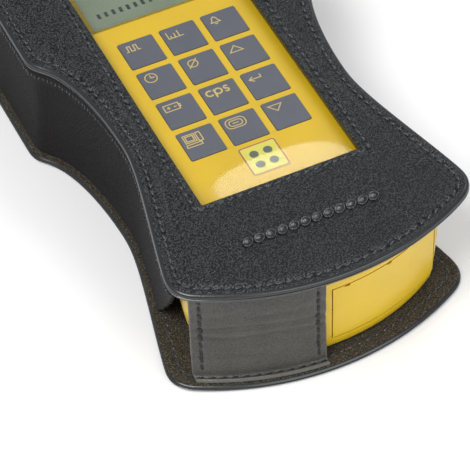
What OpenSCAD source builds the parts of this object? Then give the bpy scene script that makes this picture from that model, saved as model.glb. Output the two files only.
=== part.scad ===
// Pocket Geiger counter in its leather carrying case, in millimetres.
// X runs across the instrument, +Y from the keypad end to the tube-window end, +Z up.
// The origin is on the table under the middle of the case. Plans are drawn with y measured
// from the near edge of the case, and from_near_edge() moves them to the shared frame.

/* [Case] */
// Length of the case, from its near edge to its far edge
case_len = 172; // [172:0.5:176]
// Width of the case across its straight far part
case_w = 82.8; // [82:0.2:85]
// Width of the case across its near corners
case_near_w = 81.4; // [81:0.2:84]
// Width of the case across its waist
case_waist_w = 62.6; // [62.6:0.2:65]
// Distance from the table to the underside of the top panel
case_h = 33; // [33:0.1:34]
// Thickness of the top leather panel
top_panel_t = 2.4; // [2:0.1:3]
// Thickness of the bottom leather panel
bottom_panel_t = 1.8; // [1.4:0.1:1.8]
// Thickness of the flock lining
lining_t = 0.5; // [0.3:0.05:0.5]
// Thickness of the elastic side gussets
gusset_t = 1.4; // [0.8:0.1:1.4]
// Thickness of the leather end strap
strap_t = 1.3; // [1:0.1:1.3]
// Width of the window in the top panel
window_w = 43; // [42:0.1:43.4]
// Offset of the window from the middle of the case, to the left
window_off = 0.6; // [0:0.1:0.6]
// Offset of the sewn bottom panel from the top panel, to the left
bottom_off = 1.1; // [0:0.1:1.2]
// Length of the window in the top panel
window_len = 106.5; // [105:0.5:108]

/* [Counter] */
// Length of the instrument
body_len = 163; // [162:0.5:163]
// Width of the instrument at its far end
body_w = 72; // [70:0.5:72]
// Width of the instrument at its near end
body_near_w = 68.8; // [68:0.2:69]
// Width of the instrument at its waist
body_waist_w = 54.4; // [54.2:0.1:54.6]
// Height of the instrument
body_h = 30; // [29.8:0.1:30]
// Wall thickness of the two shells
wall = 2.2; // [2:0.1:2.4]
// Depth of the recess that holds the keypad overlay
recess_d = 1.4; // [1.3:0.05:1.5]

/* [Keypad] */
// Width of a key
key_w = 9.75; // [9:0.05:10]
// Length of a key
key_l = 9.97; // [9:0.05:10]
// Distance between key columns
key_pitch_x = 11.84; // [11.6:0.02:12]
// Distance between key rows
key_pitch_y = 12.04; // [11.8:0.02:12.2]
// How far a key goes down
key_travel = 0.3; // [0.2:0.05:0.3]

/* [Display] */
// Width of the display lens
lens_w = 42; // [40:0.5:42]
// Length of the display lens
lens_l = 32; // [30:0.5:33]

/* [Tube] */
// Diameter of the counting tube
tube_d = 9.1; // [8.6:0.1:9.2]
// Length of the counting tube
tube_len = 38.1; // [36:0.1:39]
// Diameter of each opening in the aperture disc
aperture_d = 6.4; // [5.6:0.1:6.4]
// Angle from one aperture to the next
aperture_step = 62; // [60:1:62]

/* [Hidden] */
$fn = 48;

// Outline resolution: steps along each arc, corner and side curve
arc_steps = 10;
corner_steps = 10;
side_steps = 14;
shoulder_steps = 6;
near_lean = 11.5;

// How far the side curves keep straight: at the near corner, on each side of the waist, and
// at the shoulder
near_reach = 14;
waist_near_reach = 9;
waist_far_reach = 13;
shoulder_reach = 8;

// Plan of the case, y from its near edge
case_near_r = 75;
waist_y = 62;
case_outline = outline(
    near_y = 0, near_r = case_near_r, near_hw = case_near_w / 2, near_corner = 7.5,
    waist_hw = case_waist_w / 2,
    far_hw = case_w / 2, shoulder_y = 101.9, shoulder_r = 6, shoulder_lean = -48,
    far_y = case_len, far_r = 110, far_corner = 9);

// Plan of the instrument, y from the near edge of the case
body_y = 4.9;
body_outline = outline(
    near_y = body_y, near_r = 58, near_hw = body_near_w / 2, near_corner = 8,
    waist_hw = body_waist_w / 2,
    far_hw = body_w / 2, shoulder_y = 106, shoulder_r = 10, shoulder_lean = -35,
    far_y = body_y + body_len, far_r = 100, far_corner = 8);

// Heights
lining_z = bottom_panel_t;
floor_z = bottom_panel_t + lining_t;
body_z = floor_z + 0.1;
body_top_z = body_z + body_h;
split_z = body_z + 15;
recess_z = body_top_z - recess_d;
ceiling_z = recess_z - 2;
cavity_z = body_z + wall;

// Case details
lining_inset = 5;
gusset_inset = 2.4;
strap_inset = 2.4;
strap_flange_inset = 0.4;
strap_x0 = -36.6;
strap_x1 = -4.6;
window_y = 35.4;
film_t = 0.4;
film_margin = 2;

// Side and end insets of the shells at each height: [z, inset at the sides, inset at the ends]
seam_chamfer = 0.25;
lower_profile = [
    [body_z, 6.6, 1.9],
    [body_z + 0.35, 5.4, 1],
    [body_z + 1.2, 4.3, 0.4],
    [body_z + 2.8, 3.3, 0.1],
    [body_z + 5.6, 2, 0],
    [body_z + 9.6, 0.8, 0],
    [split_z - seam_chamfer, 0, 0],
    [split_z, seam_chamfer, seam_chamfer]
];
upper_profile = [
    [split_z, seam_chamfer, seam_chamfer],
    [split_z + seam_chamfer, 0, 0],
    [body_top_z - 4.9, 0.2, 0.1],
    [body_top_z - 2.6, 0.5, 0.4],
    [body_top_z - 1.3, 1.1, 1],
    [body_top_z - 0.4, 2, 1.9],
    [body_top_z, 3.3, 3.2]
];
lower_cavity = [
    [cavity_z, 7.4, 3.2],
    [cavity_z + 3, 4.8, wall],
    [split_z + 1, wall, wall]
];
upper_cavity = [
    [split_z - 1, wall, wall],
    [ceiling_z - 2, wall + 0.2, wall + 0.1],
    [ceiling_z, wall + 1.2, wall + 1]
];

// Keypad and display, y from the near edge of the case
key_row_y = 58.07;
key_r = 0.45;
key_gap = 0.1;
key_cap_t = 0.8;
key_pocket_d = 0.4;
key_proud = 0.25;
stem_d = 3.6;
stem_bore_d = 3.8;
overlay_t = 0.5;
overlay_y0 = 33;
overlay_y1 = 146;
overlay_w = 46.2;
sign_w = 10.44;
sign_y = 46.4;
sign_t = 0.15;
lens_y = 122;
lens_t = 1;
lens_ledge = 1.5;

// Electronics
board_t = 1.6;
board_z = ceiling_z - 7.6;
board_top_z = board_z + board_t;
board_w = 45.2;
board_y0 = 13.5;
board_y1 = 147;
switch_w = 6;
switch_h = 3.5;
plunger_h = board_top_z + 4;
board_screw_pos = [[-20, 32], [20, 32], [-20, 143.5], [20, 143.5]];
lcd_t = 2.2;
lcd_z = ceiling_z - lcd_t;
battery_d = 14.5;
battery_len = 50.5;
battery_pos = [-9, 48, cavity_z + 0.15 + battery_d / 2];
housing_screw_pos = [[-27, 26], [27, 26], [-28.5, 147], [28.5, 147]];
housing_head_z = body_z + 5.8;

// Connector cover in the near face
cover_x0 = -1.9;
cover_x1 = 31;
cover_z0 = 6.5;
cover_z1 = 24.6;
cover_gap = 0.15;

// Counting tube and aperture selector at the far end
far_y = body_y + body_len;
selector_z = split_z;
aperture_r = 7;
tube_z = selector_z - aperture_r;
far_wall_y = far_y - 2.7;
disc_t = 2.4;
disc_y1 = far_wall_y - 0.3;
disc_y0 = disc_y1 - disc_t;
disc_d = 21.2;
pin_d = 3;
pin_bore_d = 3.1;
foil_t = 0.1;
carrier_t = 2.8;
carrier_y = disc_y0 - 0.8 - carrier_t;
tube_y1 = disc_y0 - 1;
tube_y0 = tube_y1 - tube_len;
knob_r = 8.6;
knob_d = 3;
slot_clearance = 0.3;
slot_half_angle = aperture_step + 13;

// Points along an arc of radius r about c, from angle a0 to a1
function arc(c, r, a0, a1, n) =
    [for (i = [0:n]) let (a = a0 + (a1 - a0) * i / n) c + r * [cos(a), sin(a)]];

// Points along a cubic curve with control points a, b, c and d
function curve(a, b, c, d, n) =
    [for (i = [0:n]) let (t = i / n, s = 1 - t)
        s ^ 3 * a + 3 * s ^ 2 * t * b + 3 * s * t ^ 2 * c + t ^ 3 * d];

// A list without its first item, so that joined curves don't repeat a point
function rest_of(p) = [for (i = [1:len(p) - 1]) p[i]];

// Right half of an hourglass plan, from the near apex round to the far apex
function half_outline(near_y, near_r, near_hw, near_corner, waist_hw, far_hw, shoulder_y,
                      shoulder_r, shoulder_lean, far_y, far_r, far_corner) =
    let (
        nx = near_hw - near_corner,
        ny = near_y + near_r - sqrt((near_r - near_corner) ^ 2 - nx ^ 2),
        na = atan2(ny - near_y - near_r, nx),
        fx = far_hw - far_corner,
        fy = far_y - far_r + sqrt((far_r - far_corner) ^ 2 - fx ^ 2),
        fa = atan2(fy - far_y + far_r, fx),
        side_start = [nx, ny] + near_corner * [cos(near_lean), sin(near_lean)],
        waist = [waist_hw, waist_y],
        shoulder = [far_hw - shoulder_r, shoulder_y],
        side_end = shoulder + shoulder_r * [cos(shoulder_lean), sin(shoulder_lean)]
    )
    concat(
        arc([0, near_y + near_r], near_r, -90, na, arc_steps),
        rest_of(arc([nx, ny], near_corner, na, near_lean, corner_steps)),
        rest_of(curve(side_start, side_start + near_reach * [-sin(near_lean), cos(near_lean)],
            waist - [0, waist_near_reach], waist, side_steps)),
        rest_of(curve(waist, waist + [0, waist_far_reach],
            side_end + shoulder_reach * [sin(shoulder_lean), -cos(shoulder_lean)], side_end,
            side_steps)),
        rest_of(arc(shoulder, shoulder_r, shoulder_lean, 0, shoulder_steps)),
        arc([fx, fy], far_corner, 0, fa, corner_steps),
        rest_of(arc([0, far_y - far_r], far_r, fa, 90, arc_steps))
    );

// The whole hourglass plan, counter-clockwise
function outline(near_y, near_r, near_hw, near_corner, waist_hw, far_hw, shoulder_y,
                 shoulder_r, shoulder_lean, far_y, far_r, far_corner) =
    let (
        right = half_outline(near_y, near_r, near_hw, near_corner, waist_hw, far_hw, shoulder_y,
            shoulder_r, shoulder_lean, far_y, far_r, far_corner),
        n = len(right)
    )
    concat(right, [for (i = [n - 2:-1:1]) [-right[i][0], right[i][1]]]);

// An outline moved inwards, by side where it faces sideways and by end where it faces an end
function inset(p, side, end) =
    let (n = len(p))
    [for (i = [0:n - 1])
        let (
            t = p[(i + 1) % n] - p[(i + n - 1) % n],
            u = t / norm(t),
            w = abs(u[1]) ^ 4
        )
        p[i] + (end + (side - end) * w) * [-u[1], u[0]]];

// Moves a plan drawn from the near edge of the case into the shared frame
module from_near_edge() {
    translate([0, -case_len / 2, 0])
        children();
}

// A closed skin through one plan at several heights and insets. Each end is closed by strips
// that run across the plan, from a point on its right half to the mirrored point on its left.
module loft(plan, profile) {
    n = len(plan);
    rings = len(profile);
    points = [for (r = profile) for (q = inset(plan, r[1], r[2])) [q[0], q[1], r[0]]];
    sides = [for (k = [0:rings - 2]) for (i = [0:n - 1])
        [k * n + i, (k + 1) * n + i, (k + 1) * n + (i + 1) % n, k * n + (i + 1) % n]];
    strips = [for (i = [0:n / 2 - 1]) strip(i, n)];
    bottom = [for (s = strips) s];
    top = [for (s = strips) [for (i = [len(s) - 1:-1:0]) (rings - 1) * n + s[i]]];
    polyhedron(points, concat(bottom, top, sides));
}

// One strip across a plan of n points, with the triangles at its two apexes
function strip(i, n) =
    i == 0 ? [0, 1, n - 1]
    : i == n / 2 - 1 ? [i, i + 1, n - i]
    : [i, i + 1, n - i - 1, n - i];

// A rectangle with true round corners
module rounded_rect(w, l, r) {
    square([w - 2 * r, l], center = true);
    square([w, l - 2 * r], center = true);
    for (x = [-1, 1], y = [-1, 1])
        translate([x * (w / 2 - r), y * (l / 2 - r)])
            circle(r);
}

// A cylinder along Y that starts at y
module rod_y(x, y, z, d, l) {
    translate([x, y, z])
        rotate([-90, 0, 0])
            cylinder(d = d, h = l);
}

// Places children at the key in a column and row, counted from the near left key
module at_key(col, row) {
    translate([(col - 1) * key_pitch_x, key_row_y + row * key_pitch_y, 0])
        children();
}

module at_each_key() {
    for (row = [0:3], col = [0:2])
        at_key(col, row)
            children();
}

// ---- Leather case ----

module case_top_panel() {
    color("#33393c")
        from_near_edge()
            translate([0, 0, case_h])
                difference() {
                    linear_extrude(top_panel_t)
                        polygon(case_outline);
                    translate([-window_w / 2 - window_off, window_y, -1])
                        cube([window_w, window_len, top_panel_t + 2]);
                }
}

module case_top_lining() {
    opening_w = window_w + 2 * film_margin + 0.4;
    opening_l = window_len + 2 * film_margin + 0.4;
    color("#2b2320")
        from_near_edge()
            translate([0, 0, case_h - lining_t])
                difference() {
                    linear_extrude(lining_t)
                        polygon(inset(case_outline, lining_inset, lining_inset));
                    translate([-opening_w / 2 - window_off, window_y - film_margin - 0.2, -1])
                        cube([opening_w, opening_l, lining_t + 2]);
                }
}

module case_bottom_panel() {
    color("#2b3033")
        from_near_edge()
            translate([-bottom_off, 0, 0])
                linear_extrude(bottom_panel_t)
                    polygon(case_outline);
}

module case_bottom_lining() {
    color("#2b2317")
        from_near_edge()
            translate([-bottom_off, 0, lining_z])
                linear_extrude(lining_t)
                    polygon(inset(case_outline, 1, 1));
}

// Elastic side wall, cut off at a slant at its near end
module gusset(side) {
    color("#2f2b2d")
        from_near_edge()
            intersection() {
                translate([0, 0, floor_z])
                    linear_extrude(case_h - floor_z)
                        difference() {
                            polygon(inset(case_outline, gusset_inset, gusset_inset));
                            polygon(inset(case_outline, gusset_inset + gusset_t,
                                gusset_inset + gusset_t));
                        }
                rotate([90, 0, 90])
                    translate([0, 0, side < 0 ? -case_w / 2 : 0])
                        linear_extrude(case_w / 2)
                            polygon([[15, case_h], [36, floor_z], [162, floor_z], [162, case_h]]);
            }
}

// Wall that closes the left half of the near end, with a sewn flange above and below
module end_strap() {
    r_out = case_near_r - strap_inset;
    r_in = r_out - strap_t;
    r_flange = case_near_r - strap_flange_inset;
    color("#3a3a37")
        from_near_edge()
            intersection() {
                translate([0, case_near_r, 0])
                    rotate_extrude()
                        polygon([
                            [r_in, floor_z], [r_flange, floor_z], [r_flange, floor_z + strap_t],
                            [r_out, floor_z + strap_t], [r_out, case_h - strap_t],
                            [r_flange, case_h - strap_t], [r_flange, case_h], [r_in, case_h]
                        ]);
                translate([strap_x0, -5, 0])
                    cube([strap_x1 - strap_x0, 30, case_h]);
            }
}

module window_film() {
    color([0.9, 0.93, 0.95, 0.35])
        from_near_edge()
            translate([-window_w / 2 - film_margin - window_off, window_y - film_margin,
                case_h - film_t])
                cube([window_w + 2 * film_margin, window_len + 2 * film_margin, film_t]);
}

// ---- Shells ----

module upper_shell() {
    boss_z = split_z;
    color("#ebc24a")
        from_near_edge()
            difference() {
                union() {
                    difference() {
                        loft(body_outline, upper_profile);
                        loft(body_outline, upper_cavity);
                    }
                    for (p = housing_screw_pos)
                        translate([p[0], p[1], boss_z])
                            cylinder(d = 7, h = ceiling_z - boss_z + 0.5);
                    for (p = board_screw_pos)
                        translate([p[0], p[1], board_top_z])
                            cylinder(d = 4.6, h = ceiling_z - board_top_z + 0.5);
                    far_wall(split_z, ceiling_z + 0.5);
                }
                overlay_recess();
                key_holes();
                display_opening();
                for (p = housing_screw_pos)
                    translate([p[0], p[1], boss_z - 1])
                        cylinder(d = 2.9, h = 9);
                for (p = board_screw_pos)
                    translate([p[0], p[1], board_top_z - 1])
                        cylinder(d = 2, h = 6);
                connector_opening();
                selector_slot();
            }
}

// Thickens the middle of the far wall to a flat inner face, so that the disc can turn against it
module far_wall(z0, z1) {
    translate([-disc_d / 2 - 1, far_wall_y, z0])
        cube([disc_d + 2, 1.2, z1 - z0]);
}

module overlay_recess() {
    translate([0, (overlay_y0 + overlay_y1) / 2, recess_z])
        linear_extrude(recess_d + 1)
            rounded_rect(overlay_w + 0.2, overlay_y1 - overlay_y0 + 0.2, 3);
}

module key_holes() {
    at_each_key() {
        translate([0, 0, recess_z - key_pocket_d])
            linear_extrude(recess_d)
                rounded_rect(key_w + 2 * key_gap, key_l + 2 * key_gap, key_r + key_gap);
        translate([0, 0, ceiling_z - 1])
            cylinder(d = stem_bore_d, h = 4);
    }
}

module display_opening() {
    translate([0, lens_y, recess_z - 0.3])
        linear_extrude(recess_d)
            rounded_rect(lens_w + 0.2, lens_l + 0.2, 1.1);
    translate([0, lens_y, ceiling_z - 1])
        linear_extrude(5)
            square([lens_w - 2 * lens_ledge, lens_l - 2 * lens_ledge], center = true);
}

// Opening in the near face for the connector cover
module connector_opening() {
    translate([cover_x0 - cover_gap, body_y - 2, cover_z0 - cover_gap])
        cube([cover_x1 - cover_x0 + 2 * cover_gap, 18, cover_z1 - cover_z0 + 2 * cover_gap]);
}

// Curved slot above the pivot, where the selector knob comes through the far wall
module selector_slot() {
    side_x = 20 * sin(slot_half_angle);
    side_z = 20 * cos(slot_half_angle);
    translate([0, far_wall_y + 7, selector_z])
        rotate([90, 0, 0])
            intersection() {
                difference() {
                    cylinder(r = knob_r + knob_d / 2 + slot_clearance, h = 8);
                    translate([0, 0, -1])
                        cylinder(r = knob_r - knob_d / 2 - slot_clearance, h = 10);
                }
                translate([0, 0, -1])
                    linear_extrude(10)
                        polygon([[0, 0], [side_x, side_z], [side_x, 20], [-side_x, 20],
                            [-side_x, side_z]]);
            }
}

module lower_shell() {
    color("#e8bb3e")
        from_near_edge()
            difference() {
                union() {
                    difference() {
                        loft(body_outline, lower_profile);
                        loft(body_outline, lower_cavity);
                    }
                    for (p = housing_screw_pos)
                        translate([p[0], p[1], cavity_z - 0.5])
                            cylinder(d = 8, h = split_z - cavity_z + 0.5);
                    far_wall(cavity_z - 0.5, split_z);
                }
                for (p = housing_screw_pos) {
                    translate([p[0], p[1], body_z - 1])
                        cylinder(d = 6, h = housing_head_z - body_z + 3.2);
                    translate([p[0], p[1], body_z])
                        cylinder(d = 3.2, h = 20);
                }
                connector_opening();
                rod_y(0, far_wall_y - 1, tube_z, 8, 8);
            }
}

// Cover of the connector bay, shaped as the piece of near wall that it fills
module end_cover() {
    cover_cavity = [
        [cover_z0 - 1, wall, wall],
        [cover_z1 + 1, wall, wall]
    ];
    cover_skin = [
        [cover_z0 - 1, 0.4, 0],
        [cover_z1 + 1, 0.1, 0]
    ];
    color("#edc44c")
        from_near_edge()
            difference() {
                intersection() {
                    difference() {
                        loft(body_outline, cover_skin);
                        loft(body_outline, cover_cavity);
                    }
                    translate([cover_x0 + cover_gap, body_y - 2, cover_z0 + cover_gap])
                        cube([cover_x1 - cover_x0 - 2 * cover_gap, 18,
                            cover_z1 - cover_z0 - 2 * cover_gap]);
                }
                for (x = [2.3, 14.6])
                    translate([x - 0.7, body_y - 2, cover_z1 - 0.7])
                        cube([1.4, 6, 2]);
            }
}

module housing_screws() {
    color("#9a9da0")
        from_near_edge()
            for (p = housing_screw_pos)
                translate([p[0], p[1], housing_head_z])
                    difference() {
                        union() {
                            cylinder(d = 5.5, h = 2.2);
                            cylinder(d = 2.9, h = 16);
                        }
                        for (a = [0, 90])
                            rotate([0, 0, a])
                                translate([-1.5, -0.3, -1])
                                    cube([3, 0.6, 2.2]);
                    }
}

// ---- Keypad and display ----

module keypad_overlay() {
    color("#edc54e")
        from_near_edge()
            difference() {
                translate([0, (overlay_y0 + overlay_y1) / 2, recess_z])
                    linear_extrude(overlay_t)
                        rounded_rect(overlay_w, overlay_y1 - overlay_y0, 2.9);
                at_each_key()
                    translate([0, 0, recess_z - 1])
                        linear_extrude(3)
                            rounded_rect(key_w + 2 * key_gap, key_l + 2 * key_gap, key_r + key_gap);
                translate([0, lens_y, recess_z - 1])
                    linear_extrude(3)
                        rounded_rect(lens_w + 0.2, lens_l + 0.2, 1.1);
            }
}

module radiation_sign() {
    color("#c9c24a")
        from_near_edge()
            translate([0, sign_y, recess_z + overlay_t])
                linear_extrude(sign_t)
                    rounded_rect(sign_w, sign_w, 0.5);
}

// One key: a flat cap in its pocket and a stem that reaches down to its switch
module key(col, row) {
    cap_z = recess_z + overlay_t + key_proud - key_cap_t;
    stem_z = plunger_h + key_travel + 0.05;
    color("#626878")
        from_near_edge()
            at_key(col, row) {
                translate([0, 0, cap_z])
                    linear_extrude(key_cap_t)
                        rounded_rect(key_w, key_l, key_r);
                translate([0, 0, stem_z])
                    cylinder(d = stem_d, h = cap_z - stem_z + 0.2);
            }
}

module lcd_lens() {
    color([0.75, 0.8, 0.78, 0.5])
        from_near_edge()
            translate([0, lens_y, recess_z - 0.3])
                linear_extrude(lens_t)
                    rounded_rect(lens_w, lens_l, 1);
}

module lcd_glass() {
    color("#8f9a86")
        from_near_edge()
            translate([-21.3, lens_y - 17, lcd_z])
                cube([42.6, 34, lcd_t]);
}

module lcd_holder() {
    color("#d8d8d2")
        from_near_edge()
            difference() {
                translate([-22.4, lens_y - 18.4, board_top_z])
                    cube([44.8, 36.8, lcd_z + 1 - board_top_z]);
                translate([-21.4, lens_y - 17.1, lcd_z])
                    cube([42.8, 34.2, 5]);
                translate([-19.8, lens_y - 15.4, board_top_z - 1])
                    cube([39.6, 30.8, 12]);
            }
}

// Conductive rubber strips from the board up to the glass
module lcd_contact_strips() {
    color("#c46a8a")
        from_near_edge()
            for (y = [-14, 14])
                translate([-18, lens_y + y - 1, board_top_z])
                    cube([36, 2, lcd_z - board_top_z]);
}

// ---- Electronics ----

module main_board() {
    color("#2e6b45")
        from_near_edge()
            difference() {
                translate([-board_w / 2, board_y0, board_z])
                    cube([board_w, board_y1 - board_y0, board_t]);
                for (p = board_screw_pos)
                    translate([p[0], p[1], board_z - 1])
                        cylinder(d = 2.2, h = board_t + 2);
            }
}

module board_screws() {
    color("#b9bcc0")
        from_near_edge()
            for (p = board_screw_pos)
                translate([p[0], p[1], board_z - 1.3])
                    difference() {
                        union() {
                            cylinder(d = 3.8, h = 1.3);
                            cylinder(d = 2, h = 6.5);
                        }
                        translate([-1.2, -0.25, -1])
                            cube([2.4, 0.5, 1.6]);
                    }
}

module tact_switches() {
    color("#3b3c3e")
        from_near_edge()
            at_each_key() {
                translate([-switch_w / 2, -switch_w / 2, board_top_z])
                    cube([switch_w, switch_w, switch_h]);
                translate([0, 0, board_top_z + switch_h])
                    cylinder(d = 3.4, h = plunger_h - board_top_z - switch_h);
            }
}

// Chip under the board, with a row of leads on each side
module microcontroller() {
    chip_w = 10;
    chip_t = 1.4;
    color("#26282b")
        from_near_edge()
            translate([-9, 118, board_z - chip_t]) {
                translate([-chip_w / 2, -chip_w / 2, 0])
                    cube([chip_w, chip_w, chip_t]);
                for (turn = [0:3], i = [0:11])
                    rotate([0, 0, turn * 90])
                        translate([-4.55 + i * 0.8, chip_w / 2, chip_t - 0.2])
                            cube([0.3, 1.1, 0.2]);
            }
}

module clock_crystal() {
    color("#c3c6c9")
        from_near_edge()
            translate([4, 124, board_z - 2.5])
                linear_extrude(2.5)
                    rounded_rect(4, 8, 1.9);
}

module surface_mount_parts() {
    color("#b8a890")
        from_near_edge() {
            for (i = [0:5])
                translate([-16 + i * 4.4, 106, board_z - 0.6])
                    cube([2, 1.2, 0.6]);
            for (i = [0:5])
                translate([6 + (i % 2) * 5, 30 + i * 4, board_z - 0.6])
                    cube([2, 1.2, 0.6]);
        }
}

// Coil former with its winding, under the board
module hv_transformer() {
    color("#6f5a32")
        from_near_edge()
            translate([13, 92, board_z - 9]) {
                translate([-6.5, -6.5, 7.6])
                    cube([13, 13, 1.4]);
                translate([-6.5, -6.5, 0])
                    cube([13, 13, 1.4]);
                cylinder(d = 11, h = 8);
            }
}

module hv_capacitors() {
    color("#b5702e")
        from_near_edge()
            for (i = [0:2])
                rod_y(15, 104.5 + i * 4.6, board_z - 3.6, 7, 2.6);
}

module buzzer() {
    color("#1f2022")
        from_near_edge()
            translate([12, 62, board_z - 6])
                difference() {
                    cylinder(d = 13, h = 6);
                    translate([0, 0, -1])
                        cylinder(d = 2, h = 3);
                }
}

// Data socket behind the connector cover
module usb_socket() {
    color("#c9ccd0")
        from_near_edge()
            translate([14.6 - 3.85, board_y0 - 2.5, board_z - 3.9])
                difference() {
                    cube([7.7, 9.2, 3.9]);
                    translate([0.5, -1, 0.5])
                        cube([6.7, 8, 2.9]);
                }
}

module battery() {
    color("#3f6f86")
        from_near_edge() {
            rod_y(battery_pos[0], battery_pos[1], battery_pos[2], battery_d, battery_len - 1);
            rod_y(battery_pos[0], battery_pos[1] + battery_len - 1, battery_pos[2], 5.5, 1);
        }
}

// Two saddles on the floor of the lower shell
module battery_cradle() {
    color("#1d1e20")
        from_near_edge()
            for (y = [8, 38])
                difference() {
                    translate([battery_pos[0] - 8.6, battery_pos[1] + y, cavity_z])
                        cube([17.2, 4, 7]);
                    rod_y(battery_pos[0], battery_pos[1] - 5, battery_pos[2], battery_d, 60);
                }
}

// Solder tags welded to the cell, bent up to the board
module battery_tabs() {
    tab_h = board_z - battery_pos[2] + 1.5;
    color("#d0d2d4")
        from_near_edge()
            for (y = [battery_pos[1] - 0.3, battery_pos[1] + battery_len])
                translate([battery_pos[0] - 2, y, board_z - tab_h])
                    cube([4, 0.3, tab_h]);
}

// ---- Counting tube and aperture selector ----

module gm_tube() {
    color("#a9acae")
        from_near_edge()
            difference() {
                union() {
                    rod_y(0, tube_y0, tube_z, tube_d, tube_len);
                    rod_y(0, tube_y0 - 2, tube_z, 3.2, 2);
                    rod_y(0, tube_y0 - 6, tube_z, 1, 4);
                }
                rod_y(0, tube_y1 - 0.8, tube_z, 7.6, 2);
            }
}

module mica_window() {
    color("#cdb98a")
        from_near_edge()
            rod_y(0, tube_y1 - 0.8, tube_z, 7.6, 0.2);
}

// Spring saddles that hold the tube to the floor
module tube_clips() {
    color("#c2b58a")
        from_near_edge()
            for (y = [6, 26])
                translate([0, tube_y0 + y, 0])
                    difference() {
                        translate([-6, 0, cavity_z])
                            cube([12, 3, tube_z - cavity_z + 1.5]);
                        rod_y(0, -1, tube_z, tube_d, 5);
                    }
}

// Clip on the tube's pin, and the wire from it up to the board
module anode_lead() {
    clip_y = tube_y0 - 6;
    color("#b03a30")
        from_near_edge() {
            difference() {
                rod_y(0, clip_y, tube_z, 2.2, 3.4);
                rod_y(0, clip_y - 1, tube_z, 1, 6);
            }
            translate([0, clip_y + 1.6, tube_z + 1])
                cylinder(d = 0.9, h = board_z - tube_z - 1);
        }
}

// Plate that carries the pivot pin and centres the window end of the tube
module tube_carrier() {
    color("#222426")
        from_near_edge()
            difference() {
                translate([-11, carrier_y, cavity_z])
                    cube([22, carrier_t, ceiling_z - cavity_z - 3]);
                rod_y(0, carrier_y - 1, tube_z, tube_d, carrier_t + 2);
                rod_y(0, carrier_y - 1, selector_z, pin_d, carrier_t + 2);
                rod_y(7, carrier_y - 1, selector_z + 4, 1.6, carrier_t + 2);
            }
}

// Turns about the pivot: one open aperture, one under foil and one filled with a thick shield
module aperture_disc() {
    color("#1b1c1e")
        from_near_edge()
            difference() {
                union() {
                    rod_y(0, disc_y0, selector_z, disc_d, disc_t);
                    rod_y(0, disc_y0 + 1, selector_z + knob_r, knob_d, far_y - disc_y0 + 1.8);
                }
                rod_y(0, disc_y0 - 1, selector_z, pin_bore_d, disc_t + 2);
                for (i = [-1:1])
                    rotate_selector(i * aperture_step)
                        rod_y(0, disc_y0 - 1, selector_z - aperture_r, aperture_d, disc_t + 2);
            }
}

// Turns children about the pivot axis of the selector
module rotate_selector(angle) {
    translate([0, 0, selector_z])
        rotate([0, angle, 0])
            translate([0, 0, -selector_z])
                children();
}

module alpha_foil() {
    color("#d6d9dc")
        from_near_edge()
            rod_y(0, disc_y0 - foil_t, selector_z - aperture_r, aperture_d + 0.8, foil_t);
}

module beta_shield() {
    color("#b4b8bc")
        from_near_edge()
            rotate_selector(aperture_step)
                rod_y(0, disc_y0, selector_z - aperture_r, aperture_d, disc_t);
}

module disc_pin() {
    color("#c6c8ca")
        from_near_edge() {
            rod_y(0, carrier_y - 1.2, selector_z, 4.4, 1.2);
            rod_y(0, carrier_y, selector_z, pin_d, disc_y1 - carrier_y);
        }
}

// Wire spring whose tip lies behind the disc, to click it into its three positions
module detent_spring() {
    color("#d2d4d6")
        from_near_edge() {
            rod_y(7, carrier_y, selector_z + 4, 1.6, carrier_t);
            rod_y(7, carrier_y + carrier_t, selector_z + 4, 1, 0.6);
        }
}

module window_grille() {
    color("#8f9295")
        from_near_edge()
            difference() {
                rod_y(0, far_wall_y + 1, tube_z, 8, 0.6);
                rod_y(0, far_wall_y, tube_z, 1.6, 3);
                for (a = [0:60:300])
                    rod_y(2.4 * cos(a), far_wall_y, tube_z + 2.4 * sin(a), 1.6, 3);
            }
}

case_top_panel();
case_top_lining();
case_bottom_panel();
case_bottom_lining();
gusset(-1);  // gusset_left
gusset(1);  // gusset_right
end_strap();
window_film();
upper_shell();
lower_shell();
end_cover();
keypad_overlay();
radiation_sign();
key(0, 0);  // key_computer
key(1, 0);  // key_log
key(2, 0);  // key_down
key(0, 1);  // key_battery
key(1, 1);  // key_pulses
key(2, 1);  // key_enter
key(0, 2);  // key_clock
key(1, 2);  // key_mean
key(2, 2);  // key_up
key(0, 3);  // key_rate
key(1, 3);  // key_dose
key(2, 3);  // key_alarm
lcd_lens();
lcd_glass();
lcd_holder();
lcd_contact_strips();
main_board();
tact_switches();
microcontroller();
clock_crystal();
surface_mount_parts();
hv_transformer();
hv_capacitors();
buzzer();
usb_socket();
battery();
battery_cradle();
battery_tabs();
gm_tube();
mica_window();
tube_clips();
anode_lead();
tube_carrier();
aperture_disc();
alpha_foil();
beta_shield();
disc_pin();
detent_spring();
window_grille();
housing_screws();
board_screws();
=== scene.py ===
"""Looks of a pocket Geiger counter in its leather case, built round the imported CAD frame.

Lengths are in millimetres, in the frame's own axes, and are turned into metres when a mesh is
made. Plans run counter-clockwise from the middle of the near edge, so distance along a plan is
positive on the right-hand side and negative on the left.
"""

import math

import bmesh
import bpy
import numpy as np
from mathutils import Matrix, Vector


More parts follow.
